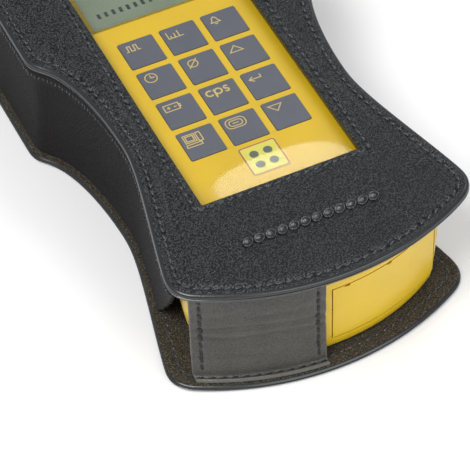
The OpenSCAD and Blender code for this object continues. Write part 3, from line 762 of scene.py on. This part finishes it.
def top_lining():
    """Flock under the top leather, cut out round the window."""
    low, high = mm_box("case_top_lining")
    film_low, film_high = mm_box("window_film")
    count = 500
    outline = inset(plan_over("case_top_lining", count), 5)
    gap = 0.2
    window = rounded_loop(film_low[0] - gap, film_low[1] - gap, film_high[0] + gap,
                          film_high[1] + gap, 0.6, count)
    jitter = np.random.RandomState(SEED)
    rings = []
    for z, shares in ((high[2], np.linspace(0, 1, 18)), (low[2], np.linspace(1, 0, 18))):
        for share in shares:
            loop = window * (1 - share) + outline * share
            heights = z - droop(loop[:, 0], loop[:, 1]) + jitter.uniform(-0.05, 0.05, count)
            rings.append(np.column_stack([loop, heights]))
    build("top_flock", np.vstack(rings), band_faces(len(rings), count, True), "case",
          paint("flock_lining"), ["case_top_lining"])


def gusset(side, top_outline, bottom_outline):
    """Elastic side wall: ribbed, tucked in under its lower edge and cut off at a slant."""
    name = "gusset_left" if side < 0 else "gusset_right"
    low, high = mm_box(name)
    case_low = mm_box("case_top_panel")[0]
    rows, columns = 34, 1000
    t = np.linspace(0, 1, rows)[:, None]
    top_path, bottom_path = Path(top_outline), Path(bottom_outline)
    near_y = case_low[1] + GUSSET_NEAR - GUSSET_SLANT * t
    far_y = case_low[1] + GUSSET_FAR
    u = np.linspace(0, 1, columns)[None, :]

    def wall(path):
        start, end = path.to_y(near_y), path.to_y(far_y)
        s = start + u * (end - start)
        return path.at(side * s), s

    (top_place, top_normal), s = wall(top_path)
    (bottom_place, bottom_normal), _ = wall(bottom_path)
    place = bottom_place * (1 - t[:, :, None]) + top_place * t[:, :, None]
    normal = bottom_normal * (1 - t[:, :, None]) + top_normal * t[:, :, None]
    rib = RIB_HEIGHT * np.cos(2 * math.pi * s / RIB_PITCH) * step(t, 0, 0.1) * step(1 - t, 0, 0.04)
    tuck = (3.1 - 1.0 * (1 - t) ** 7 + 0.25 * bell(t, 0.3, 0.15) - 0.5 * bell(t, 0.85, 0.15)
            - 2.0 * bell(t, 0.97, 0.06))
    slack = 0.35 * np.sin(s * 0.13) * np.sin(math.pi * t) + 0.2 * bell(t, 0.955, 0.012)
    depth = tuck + slack * 0.6 + rib
    plan = place + normal * depth[:, :, None]
    z = low[2] + (high[2] - low[2]) * t + 0 * s
    z = z - droop(top_place[:, :, 0] + 0 * s, top_place[:, :, 1] + 0 * s) * t ** 3
    grid = np.concatenate([plan, z[:, :, None]], axis=2)
    points, faces = sheet(grid, CLOTH_THICKNESS)
    build(name + "_cloth", points, faces, "case", paint("elastic_fabric"), [name])

    row = BEAD_ROW
    outer = grid[row] - np.column_stack([normal[row] * 0.55, np.zeros(columns)])
    first, last = top_path.to_y(near_y[row, 0]) + 1, top_path.to_y(far_y) - 1
    spots = spaced(first, last, BEAD_PITCH)
    pick = np.clip(np.searchsorted(s[row], spots), 1, columns - 2)
    places = outer[pick]
    directions = grid[row][pick + 1] - grid[row][pick - 1]
    directions /= np.linalg.norm(directions, axis=1)[:, None]
    ups = -np.column_stack([normal[row][pick], np.zeros(len(pick))])
    zigzag = np.where(np.arange(len(pick)) % 2 == 0, BEAD_TURN, -BEAD_TURN)[:, None]
    lefts = np.cross(ups, directions)
    angle = np.radians(zigzag)
    turned = directions * np.cos(angle) + lefts * np.sin(angle)
    points, faces = capsules(places, turned, ups, 1.2, 0.2, 0.05)
    build(name + "_stitches", points, faces, "case", paint("waxed_thread"))


def end_strap():
    """Leather wall across the left of the near end, folded out into a sewn flange."""
    low, high = mm_box("end_strap")
    centre = mm_box("case_top_panel")[0][1] + NEAR_RADIUS
    outline = np.array(circle(0, centre, NEAR_RADIUS, -90, 269.5, 720))
    path = Path(outline)
    columns = 150
    profile = np.array([(0.55, 0.72), (1.1, 0.66), (1.7, 0.66), (2.2, 0.8), (2.5, 1.15),
                        (2.62, 1.7), (2.66, 2.6), (2.74, 4.5), (2.9, 8), (3.02, 12),
                        (3.05, 17), (3.05, 24), (3.05, 29.2), (2.9, 29.9), (2.4, 30.05),
                        (1.2, 30.05)])
    steps = np.concatenate([[0], np.cumsum(np.linalg.norm(np.diff(profile, axis=0), axis=1))])
    fine = np.linspace(0, steps[-1], 150)
    inward_by = np.interp(fine, steps, profile[:, 0])
    height = np.interp(fine, steps, profile[:, 1])
    soften = np.ones(5) / 5
    for values in (inward_by, height):
        values[2:-2] = np.convolve(values, soften, "valid")
    x = np.linspace(low[0], high[0], columns)[None, :]

    def distance_at(side_x, inset_by):
        """Distance along the near edge where a line inset from it reaches side_x."""
        return NEAR_RADIUS * np.arcsin(side_x / (NEAR_RADIUS - inset_by))

    places, normals = path.at(distance_at(x, inward_by[:, None]))
    wall = step(height[:, None], 2.5, 5) * step(30 - height[:, None], 0.5, 2.5)
    crease = (0.5 * bell(height[:, None], 17.2 + 0.5 * np.sin(x * 0.2), 0.8)
              + 0.42 * bell(height[:, None], 14.2 + 0.35 * np.sin(x * 0.33 + 1), 0.7)
              + 0.2 * bell(height[:, None], 22 + 0.4 * np.sin(x * 0.25 + 2), 0.9)
              + 0.18 * bell(height[:, None], 7.5 + 0.4 * np.sin(x * 0.3 + 4), 0.7))
    from_side = np.minimum(x - low[0], high[0] - x)
    seam = GROOVE_DEPTH * 0.9 * bell(from_side, STRAP_SEAM, GROOVE_WIDTH) * (
        0.75 + 0.25 * np.cos(2 * math.pi * height[:, None] / STRAP_PITCH))
    depth = inward_by[:, None] + (crease + seam) * wall
    plan = places + normals * depth[:, :, None]
    sag = droop(places[:, :, 0], places[:, :, 1]) * (height[:, None] / 30) ** 3
    z = low[2] + height[:, None] - sag
    z = z - GROOVE_DEPTH * 0.5 * bell(inward_by, 1.35, 0.4)[:, None] * (height[:, None] < 2)
    grid = np.concatenate([plan, z[:, :, None]], axis=2)
    points, faces = sheet(grid, STRAP_THICKNESS)
    build("strap_leather_wall", points, faces, "case", paint("strap_leather"), ["end_strap"])

    rows = spaced(low[2] + 2.6, high[2] - 1.6, STRAP_PITCH)
    centres, ups = [], []
    for side_x in (low[0] + STRAP_SEAM, high[0] - STRAP_SEAM):
        away = np.interp(rows - low[2], height[:120], inward_by[:120]) - 0.42
        place, normal = path.at(distance_at(side_x, away))
        centres.append(np.column_stack([place + normal * away[:, None], rows]))
        ups.append(np.column_stack([-normal, np.zeros(len(rows))]))
    centres, ups = np.vstack(centres), np.vstack(ups)
    directions = np.tile([0.0, 0.0, 1.0], (len(centres), 1))
    points, faces = capsules(centres, skewed(directions, ups, 6), ups, 2.1, 0.4, 0.22)
    build("strap_side_stitches", points, faces, "case", paint("black_thread"))
    flange = Path(inset(outline, 1.3))
    flange_s = spaced(flange.to_x(low[0]), flange.to_x(high[0]), 2.7)
    flat_stitches("strap_flange_stitches", flange, flange_s,
                  lambda px, py: np.full(len(px), low[2] + 1.15), "case",
                  paint("black_thread"), 2.0, 0.25)


def window_film():
    """Clear film in the window, bulged a little by the instrument under it."""
    low, high = mm_box("window_film")
    x = np.linspace(low[0], high[0], 40)[None, :]
    y = np.linspace(low[1], high[1], 90)[:, None]
    across = 1 - ((x - (low[0] + high[0]) / 2) / ((high[0] - low[0]) / 2)) ** 2
    bulge = 0.25 * across * step(y - low[1], 0, 16) * step(high[1] - y, 0, 16)
    z = (low[2] + high[2]) / 2 - 0.12 + bulge
    grid = np.stack([x + 0 * y, y + 0 * x, z], axis=2)
    points, faces = sheet(grid, FILM_THICKNESS)
    build("window_film_sheet", points, faces, "case", paint("clear_film"), ["window_film"])


def pressed_band():
    """A plain row of raised lozenges pressed into the leather in front of the window."""
    high = mm_box("case_top_panel")[1]
    near = mm_box("case_top_panel")[0][1]
    count, pitch, length, width, slant = 12, 3.1, 4.2, 2.3, 0.5
    corners = ((0, -0.5), (0.5, -0.12), (0.5, 0.2), (0, 0.5), (-0.5, 0.12), (-0.5, -0.2))
    levels = ((1.0, -0.1), (0.96, 0.36), (0.8, 0.5), (0.5, 0.2))
    sides, last_ring = len(corners), (len(levels) - 1) * len(corners)
    points, faces = [], []
    for k in range(count):
        cx, cy = (k - (count - 1) / 2) * pitch - 0.5, near + 19.2
        base = len(points)
        for grow, lift in levels:
            for px, py in corners:
                x = cx + (px * width * 1.5 + py * slant) * grow
                y = cy + py * length * grow
                points.append((x, y, high[2] + lift - droop(x, y)))
        faces += [[v + base for v in f] for f in band_faces(len(levels), sides, False)]
        faces.append([base + i for i in range(sides)])
        faces.append([base + last_ring + i for i in range(sides)])
    band = build("pressed_band", points, faces, "case", paint("pressed_leather"), sharp=80)
    soft = band.modifiers.new("soft", "SUBSURF")
    soft.levels = soft.render_levels = 1


# ---- Printed marks ----

def circle(x, y, radius, start=0, end=360, count=24):
    angles = np.radians(np.linspace(start, end, count))
    return [(x + radius * math.cos(a), y + radius * math.sin(a)) for a in angles]


def box_line(x0, y0, x1, y1):
    return [(x0, y0), (x1, y0), (x1, y1), (x0, y1), (x0, y0)]


def rounded_line(x0, y0, x1, y1, r):
    line = []
    for x, y, start in ((x1 - r, y0 + r, -90), (x1 - r, y1 - r, 0),
                        (x0 + r, y1 - r, 90), (x0 + r, y0 + r, 180)):
        line += circle(x, y, r, start, start + 90, 6)
    return line + line[:1]


# Key marks: lines in millimetres from the middle of the key
ICONS = {
    "key_computer": [box_line(-3.7, 0.9, -0.7, 3.6), box_line(-3.2, 1.4, -1.2, 3.1),
                     box_line(-0.2, 0.5, 0.9, 3.6), box_line(-3.9, -0.7, 0.2, 0.2)],
    "key_log": [rounded_line(-3.9, 0.5, 1.4, 3.8, 1.3), rounded_line(-3.0, 1.2, 0.5, 3.1, 0.8),
                [(-2.1, 2.15), (-0.4, 2.15)]],
    "key_down": [[(-3.5, 3.4), (0.2, 3.4), (-1.65, 1.2), (-3.5, 3.4)]],
    "key_battery": [box_line(-3.6, 1.1, 0.4, 3.4), box_line(0.4, 1.8, 0.8, 2.7),
                    [(-2.9, 2.25), (-1.9, 2.25)], [(-2.4, 1.75), (-2.4, 2.75)],
                    [(-1.0, 2.25), (-0.2, 2.25)]],
    "key_pulses": [circle(-2.7, 2.3, 0.95, 45, 315), circle(-0.35, 2.3, 0.95),
                   [(-1.3, 3.3), (-1.3, 0.3)],
                   circle(1.95, 2.8, 0.5, 20, 265, 14) + circle(1.95, 1.8, 0.5, 85, -160, 14)],
    "key_enter": [[(-0.2, 3.3), (-0.2, 2.1), (-3.4, 2.1)], [(-2.3, 3.0), (-3.5, 2.1), (-2.3, 1.2)]],
    "key_clock": [circle(-1.9, 2.2, 1.6), [(-1.9, 3.3), (-1.9, 2.2), (-0.9, 2.2)]],
    "key_mean": [circle(-1.9, 2.2, 1.3), [(-3.4, 0.7), (-0.4, 3.7)]],
    "key_up": [[(-3.5, 1.2), (0.2, 1.2), (-1.65, 3.4), (-3.5, 1.2)]],
    "key_rate": [[(-3.6, 1.3), (-3.0, 1.3), (-3.0, 3.3), (-2.2, 3.3), (-2.2, 1.3), (-1.2, 1.3),
                  (-1.2, 3.3), (-0.4, 3.3), (-0.4, 1.3), (0.4, 1.3)]],
    "key_dose": [[(-3.6, 3.5), (-3.6, 1.0), (0.6, 1.0)], [(-2.8, 1.0), (-2.8, 1.9)],
                 [(-1.7, 1.0), (-1.7, 2.6)], [(-0.6, 1.0), (-0.6, 3.3)]],
    "key_alarm": [[(-3.2, 1.4), (-2.7, 2.1), (-2.5, 3.0), (-1.9, 3.5), (-1.3, 3.0), (-1.1, 2.1),
                   (-0.6, 1.4), (-3.2, 1.4)], circle(-1.9, 1.0, 0.3, 180, 360, 10)],
}


def ribbons(lines, z, width, lift):
    """Points and faces of raised print: a flat bar with mitred bends along each line."""
    points, faces = [], []
    for order, line in enumerate(lines):
        line = np.array(line, float)
        closed = np.allclose(line[0], line[-1])
        if closed:
            line = line[:-1]
        before, after = np.roll(line, 1, axis=0), np.roll(line, -1, axis=0)
        if not closed:
            before[0], after[-1] = 2 * line[0] - line[1], 2 * line[-1] - line[-2]
        first, second = line - before, after - line
        first /= np.linalg.norm(first, axis=1)[:, None]
        second /= np.linalg.norm(second, axis=1)[:, None]
        along = first + second
        along /= np.linalg.norm(along, axis=1)[:, None]
        reach = width / 2 / np.maximum(0.45, np.abs((along * first).sum(axis=1)))
        side = np.column_stack([-along[:, 1], along[:, 0]]) * reach[:, None]
        top, base = z + lift * (1 + 0.2 * order), len(points)
        for station, offset in zip(line, side):
            points += [(*(station + offset), z - 0.05), (*(station + offset), top),
                       (*(station - offset), top), (*(station - offset), z - 0.05)]
        bars = band_faces(len(line), 4, closed)
        if not closed:
            last = 4 * len(line) - 4
            bars += [[0, 1, 2, 3], [last, last + 1, last + 2, last + 3]]
        faces += [[v + base for v in f] for f in bars]
    return points, faces


def key_marks():
    """The raised mark of each key, which rides on that key."""
    for key, lines in ICONS.items():
        low, high = mm_box(key)
        x, y = (low[0] + high[0]) / 2, (low[1] + high[1]) / 2
        moved = [[(px + x, py + y) for px, py in line] for line in lines]
        width = 0.46 if key == "key_pulses" else 0.28
        points, faces = ribbons(moved, high[2], width, 0.03)
        build("mark_of_" + key, points, faces, key, paint("icon_ink"))


def sign_marks():
    """A plain mark on the sign: a thin border, and four spots in a square."""
    low, high = mm_box("radiation_sign")
    x, y = (low[0] + high[0]) / 2, (low[1] + high[1]) / 2
    half = (high[0] - low[0]) / 2
    border = [rounded_line(x - half + 0.35, y - half + 0.35, x + half - 0.35, y + half - 0.35, 0.5)]
    points, faces = ribbons(border, high[2], 0.4, 0.02)
    build("sign_border_line", points, faces, "counter", paint("sign_border"))
    points, faces = [], []
    offset, radius, sides = 1.9, 1.2, 24
    spots = [(x + across * offset, y + along * offset) for across in (-1, 1) for along in (-1, 1)]
    for cx, cy in spots:
        base = len(points)
        rim = circle(cx, cy, radius, 0, 345, sides)
        for height in (high[2] - 0.05, high[2] + 0.02):
            points += [(px, py, height) for px, py in rim]
        faces += [[v + base for v in f] for f in band_faces(2, sides, False)]
        faces.append([base + i for i in range(sides)])
        faces.append([base + sides + i for i in range(sides)])
    build("sign_spots", points, faces, "counter", paint("sign_ink"))


def display_digits():
    """A plain reading on the display: seven-segment digits over a row of bars."""
    low, high = mm_box("lcd_glass")
    w, h, gap = 4.4, 4.6, 9.0
    strokes = {"a": ((0, 2 * h), (w, 2 * h)), "b": ((w, h), (w, 2 * h)), "c": ((w, 0), (w, h)),
               "d": ((0, 0), (w, 0)), "e": ((0, 0), (0, h)), "f": ((0, h), (0, 2 * h)),
               "g": ((0, h), (w, h))}
    digits = {"0": "abcdef", "1": "bc", "2": "abged"}
    x0, y0 = (low[0] + high[0]) / 2 - 12.5, (low[1] + high[1]) / 2 - 2
    inner = 0.12
    lines = []
    for place, digit in enumerate("012"):
        for name in digits[digit]:
            (ax, ay), (bx, by) = strokes[name]
            shift = x0 + place * gap
            lines.append([(shift + ax + (bx - ax) * inner, y0 + ay + (by - ay) * inner),
                          (shift + bx - (bx - ax) * inner, y0 + by - (by - ay) * inner)])
    lines.append([(x0 + w + 2.2, y0 - 0.1), (x0 + w + 2.3, y0 - 0.1)])
    for k in range(14):
        lines.append([(x0 - 3 + k * 2.1, y0 - 7), (x0 - 3 + k * 2.1, y0 - 5.2)])
    points, faces = ribbons(lines, high[2], 0.85, 0.02)
    build("display_segments", points, faces, "counter", paint("segment_ink"))


# ---- Room ----

CAMERA_AZIMUTH = -24.17
CAMERA_ELEVATION = 47.92
CAMERA_ROLL = -1.89
CAMERA_DISTANCE = 684.2
CAMERA_LENS = 219.3
CAMERA_TARGET = (-21.13, -67.36, 40.54)


def camera():
    """The camera, by its direction from the object, its distance and its roll."""
    azimuth, elevation = math.radians(CAMERA_AZIMUTH), math.radians(CAMERA_ELEVATION)
    back = Vector((math.sin(azimuth) * math.cos(elevation),
                   -math.cos(azimuth) * math.cos(elevation), math.sin(elevation)))
    level = Vector((math.cos(azimuth), math.sin(azimuth), 0))
    turn = Matrix.Rotation(math.radians(-CAMERA_ROLL), 3, -back)
    right = turn @ level
    up = back.cross(right)
    data = bpy.data.cameras.new("view")
    data.lens = CAMERA_LENS
    data.sensor_width = 36
    data.clip_start, data.clip_end = 0.01, 20
    eye = bpy.data.objects.new("view", data)
    eye.matrix_world = Matrix((right, up, back)).transposed().to_4x4()
    eye.location = (Vector(CAMERA_TARGET) + back * CAMERA_DISTANCE) * MM
    bpy.context.scene.collection.objects.link(eye)
    bpy.context.scene.camera = eye


def softbox(name, place, aim, width, depth, power, turn=0):
    """A large soft light at place, turned towards aim, all in millimetres."""
    data = bpy.data.lights.new(name, "AREA")
    data.shape = "RECTANGLE"
    data.size, data.size_y = width * MM, depth * MM
    data.energy = power
    lamp = bpy.data.objects.new(name, data)
    lamp.location = Vector(place) * MM
    lamp.rotation_euler = (Vector(aim) - Vector(place)).to_track_quat("-Z", "Y").to_euler()
    lamp.rotation_euler.z += math.radians(turn)
    bpy.context.scene.collection.objects.link(lamp)


def room():
    """Pale floor, even pale surroundings and soft studio lights."""
    mesh = bpy.data.meshes.new("floor")
    reach = 6000
    corners = [(-reach, -reach, 0), (reach, -reach, 0), (reach, reach, 0), (-reach, reach, 0)]
    mesh.from_pydata([tuple(c * MM for c in corner) for corner in corners], [], [(0, 1, 2, 3)])
    floor = bpy.data.objects.new("floor", mesh)
    floor.location.z = -0.05 * MM
    bpy.context.scene.collection.objects.link(floor)
    look = Look("floor_white")
    look.set(Base_Color=look.ramp(look.noise(300, 2), (0.3, 0.9), (0.7, 0.93)), Roughness=0.9)
    mesh.materials.append(look.material)
    world = bpy.data.worlds.new("studio")
    world.use_nodes = True
    background = world.node_tree.nodes["Background"]
    background.inputs["Color"].default_value = (1, 1, 1, 1)
    background.inputs["Strength"].default_value = 0.36
    bpy.context.scene.world = world
    softbox("key_light", (-500, -250, 900), (0, 0, 0), 600, 500, 8.5)
    softbox("back_light", (485, 434, 800), (485, 434, 0), 560, 350, 3.2, turn=9)
    softbox("near_light", (200, -900, 480), (0, -60, 15), 900, 600, 4.4)
    bpy.context.scene.view_settings.view_transform = "Standard"


def main():
    finish_cad_nodes()
    top_outline = top_panel()
    bottom_outline = bottom_panels()
    top_lining()
    for side in (-1, 1):
        gusset(side, top_outline, bottom_outline)
    end_strap()
    window_film()
    pressed_band()
    key_marks()
    sign_marks()
    display_digits()
    camera()
    room()


main()
